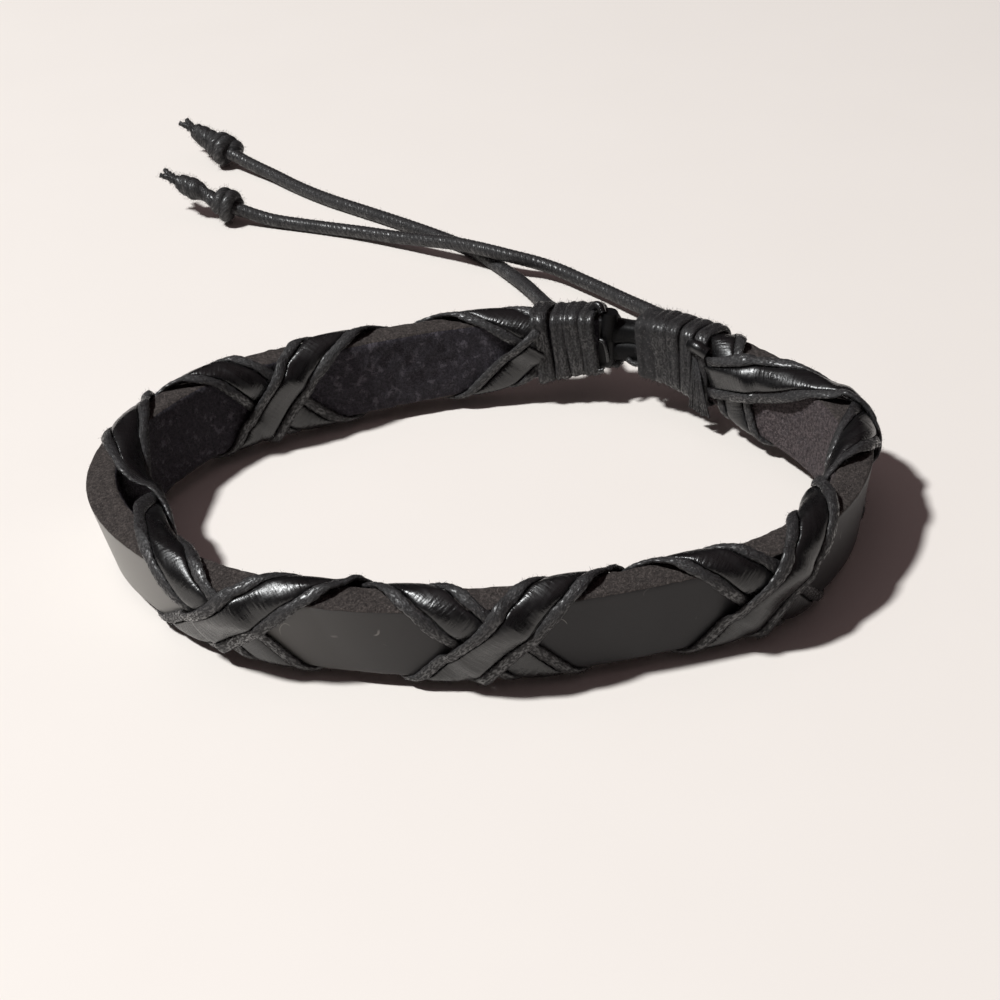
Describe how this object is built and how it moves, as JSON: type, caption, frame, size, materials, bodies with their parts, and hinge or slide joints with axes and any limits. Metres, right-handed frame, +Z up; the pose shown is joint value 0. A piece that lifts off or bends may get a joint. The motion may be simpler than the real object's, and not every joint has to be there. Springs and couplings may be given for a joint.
{
  "type": "layered leather bracelet",
  "caption": "Black leather strap bent into an open oval loop, wound with crossing thongs and waxed cords, closed by cord bindings whose knotted tails trail behind.",
  "frame": {"origin": "on the surface, under the middle of the loop with its strands and bindings, measured without the free tails and their knots", "axes": "+Z up; the loop lies on its edge on the surface; X along its longer diameter, +X to the right of the picture; -Y towards the viewer, with the closure at the back on the right and the tails trailing to -X behind it"},
  "size_m": [0.0755, 0.1217, 0.0113],
  "materials": {
    "leather": "matte black leather with suede cut edges",
    "thong": "glossy black leather",
    "waxed_cord": "waxed twisted black cord"
  },
  "bodies": {
    "root": {"strap": "leather", "under_thong": "thong", "under_cord_front": "waxed_cord", "under_cord_back": "waxed_cord", "over_thong": "thong", "over_cord_front": "waxed_cord", "over_cord_back": "waxed_cord", "left_binding": "waxed_cord", "right_binding": "waxed_cord", "closure_cord_upper": "waxed_cord", "closure_cord_lower": "waxed_cord", "left_tail": "waxed_cord", "right_tail": "waxed_cord", "left_tail_knot": "waxed_cord", "right_tail_knot": "waxed_cord"}
  },
  "joints": []
}
